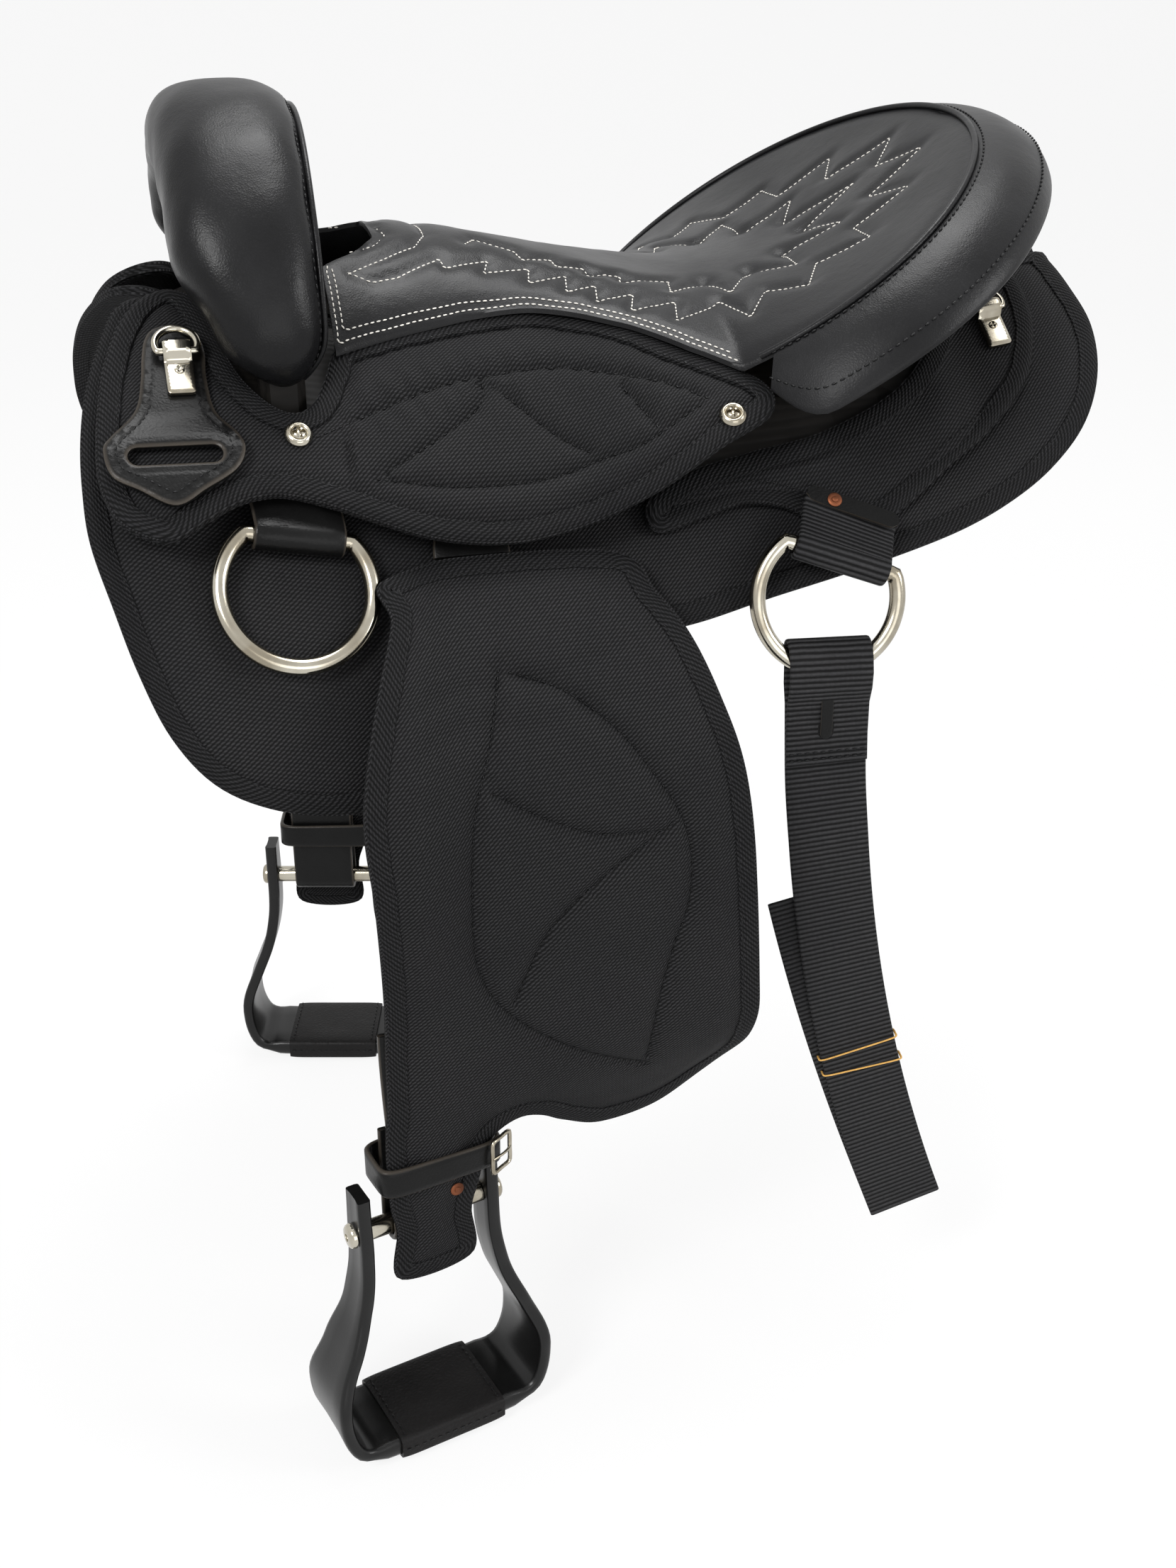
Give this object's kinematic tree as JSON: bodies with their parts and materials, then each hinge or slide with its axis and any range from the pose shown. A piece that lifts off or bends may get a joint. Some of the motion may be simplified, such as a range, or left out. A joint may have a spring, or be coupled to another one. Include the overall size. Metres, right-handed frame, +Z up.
{
  "type": "endurance saddle",
  "caption": "Endurance riding saddle with padded woven panels, stitched leather seat and cantle roll, ring rigging, hanging fenders and wide tread stirrups.",
  "frame": {"origin": "on the centre plane, in the open channel under the middle of the seat", "axes": "+X towards the cantle, -Y towards the near (left) side of the horse, +Z up"},
  "size_m": [0.629, 0.541, 0.8042],
  "materials": {
    "seat_leather": "satin",
    "woven_nylon": "matte",
    "nylon_webbing": "matte",
    "strap_leather": "satin",
    "polished_nickel": "polished",
    "tree_wood": "matte",
    "foam": "matte",
    "stirrup_black": "satin",
    "yellow_rubber": "matte"
  },
  "bodies": {
    "saddle": {"seat_cover": "seat_leather", "seat_foam": "foam", "ground_seat": "tree_wood", "cantle_back": "seat_leather", "cantle_roll": "seat_leather", "tree_cantle": "tree_wood", "tree_fork": "tree_wood", "fork_cover": "seat_leather", "tree_bar_left": "tree_wood", "tree_bar_right": "tree_wood", "lower_skirt_left": "woven_nylon", "lower_skirt_right": "woven_nylon", "rear_skirt_left": "woven_nylon", "rear_skirt_right": "woven_nylon", "jockey_left": "woven_nylon", "jockey_right": "woven_nylon", "jockey_screw_front_left": "polished_nickel", "jockey_screw_front_right": "polished_nickel", "jockey_screw_rear_left": "polished_nickel", "jockey_screw_rear_right": "polished_nickel", "breast_tab_left": "strap_leather", "breast_tab_right": "strap_leather", "dee_clip_front_left": "polished_nickel", "dee_clip_front_right": "polished_nickel", "dee_clip_rear_left": "polished_nickel", "dee_clip_rear_right": "polished_nickel", "front_rigging_strap_left": "strap_leather", "front_rigging_strap_right": "strap_leather", "rear_rigging_loop_left": "strap_leather", "rear_rigging_loop_right": "strap_leather", "stirrup_leather_left": "strap_leather", "stirrup_leather_right": "strap_leather"},
    "leather_run_left": {"leather_drop_left": "strap_leather"},
    "fender_left": {"fender_left": "woven_nylon", "leather_loop_left": "strap_leather", "hobble_strap_left": "strap_leather", "hobble_buckle_left": "polished_nickel"},
    "stirrup_left": {"stirrup_frame_left": "stirrup_black", "tread_cover_left": "strap_leather", "neck_bolt_left": "polished_nickel"},
    "front_dee_left": {"front_rigging_dee_left": "polished_nickel"},
    "rear_dee_left": {"rear_rigging_dee_left": "polished_nickel"},
    "tie_strap": {"tie_strap": "nylon_webbing", "rubber_band_upper": "yellow_rubber", "rubber_band_lower": "yellow_rubber"},
    "small_front_dee_left": {"small_dee_front_left": "polished_nickel"},
    "small_rear_dee_left": {"small_dee_rear_left": "polished_nickel"},
    "leather_run_right": {"leather_drop_right": "strap_leather"},
    "fender_right": {"fender_right": "woven_nylon", "leather_loop_right": "strap_leather", "hobble_strap_right": "strap_leather", "hobble_buckle_right": "polished_nickel"},
    "stirrup_right": {"stirrup_frame_right": "stirrup_black", "tread_cover_right": "strap_leather", "neck_bolt_right": "polished_nickel"},
    "front_dee_right": {"front_rigging_dee_right": "polished_nickel"},
    "rear_dee_right": {"rear_rigging_dee_right": "polished_nickel"},
    "small_front_dee_right": {"small_dee_front_right": "polished_nickel"},
    "small_rear_dee_right": {"small_dee_rear_right": "polished_nickel"}
  },
  "joints": [
    {"name": "swing_left", "type": "hinge", "parent": "saddle", "child": "leather_run_left", "pos_m": [-0.112, -0.1605, -0.0735], "axis": [0, -0.8387, 0.5446], "range_deg": [-14, 9]},
    {"name": "lift_left", "type": "hinge", "parent": "leather_run_left", "child": "fender_left", "pos_m": [-0.112, -0.164, -0.0724], "axis": [-1, 0, 0], "range_deg": [0, 60]},
    {"name": "stirrup_turn_left", "type": "hinge", "parent": "fender_left", "child": "stirrup_left", "pos_m": [-0.167, -0.2246, -0.474], "axis": [0.9659, 0.2588, 0], "range_deg": [-60, 60]},
    {"name": "front_dee_swing_left", "type": "hinge", "parent": "saddle", "child": "front_dee_left", "pos_m": [-0.208, -0.16044, -0.05454], "axis": [-0.9837, 0, 0.1798], "range_deg": [0, 90]},
    {"name": "rear_dee_swing_left", "type": "hinge", "parent": "saddle", "child": "rear_dee_left", "pos_m": [0.103, -0.18068, -0.08715], "axis": [-0.9242, 0.214, 0.3163], "range_deg": [0, 90]},
    {"name": "tie_strap_swing", "type": "hinge", "parent": "rear_dee_left", "child": "tie_strap", "pos_m": [0.09298, -0.19493, -0.14113], "axis": [-0.9914, 0.1308, 0], "range_deg": [0, 8]},
    {"name": "small_front_dee_swing_left", "type": "hinge", "parent": "saddle", "child": "small_front_dee_left", "pos_m": [-0.261, -0.10249, 0.03757], "axis": [0.9999, 0.0041, -0.0125], "range_deg": [0, 150]},
    {"name": "small_rear_dee_swing_left", "type": "hinge", "parent": "saddle", "child": "small_rear_dee_left", "pos_m": [0.24, -0.06672, 0.02665], "axis": [0.9903, 0, 0.1392], "range_deg": [0, 150]},
    {"name": "swing_right", "type": "hinge", "parent": "saddle", "child": "leather_run_right", "pos_m": [-0.112, 0.1605, -0.0735], "axis": [0, -0.8387, -0.5446], "range_deg": [-14, 9]},
    {"name": "lift_right", "type": "hinge", "parent": "leather_run_right", "child": "fender_right", "pos_m": [-0.112, 0.164, -0.0724], "axis": [1, 0, 0], "range_deg": [0, 60]},
    {"name": "stirrup_turn_right", "type": "hinge", "parent": "fender_right", "child": "stirrup_right", "pos_m": [-0.167, 0.2246, -0.474], "axis": [0.9659, -0.2588, 0], "range_deg": [-60, 60]},
    {"name": "front_dee_swing_right", "type": "hinge", "parent": "saddle", "child": "front_dee_right", "pos_m": [-0.208, 0.16044, -0.05454], "axis": [0.9837, 0, -0.1798], "range_deg": [0, 90]},
    {"name": "rear_dee_swing_right", "type": "hinge", "parent": "saddle", "child": "rear_dee_right", "pos_m": [0.103, 0.18068, -0.08715], "axis": [0.9242, 0.214, -0.3163], "range_deg": [0, 90]},
    {"name": "small_front_dee_swing_right", "type": "hinge", "parent": "saddle", "child": "small_front_dee_right", "pos_m": [-0.261, 0.10249, 0.03757], "axis": [-0.9999, 0.0041, 0.0125], "range_deg": [0, 150]},
    {"name": "small_rear_dee_swing_right", "type": "hinge", "parent": "saddle", "child": "small_rear_dee_right", "pos_m": [0.24, 0.06672, 0.02665], "axis": [-0.9903, 0, -0.1392], "range_deg": [0, 150]}
  ]
}
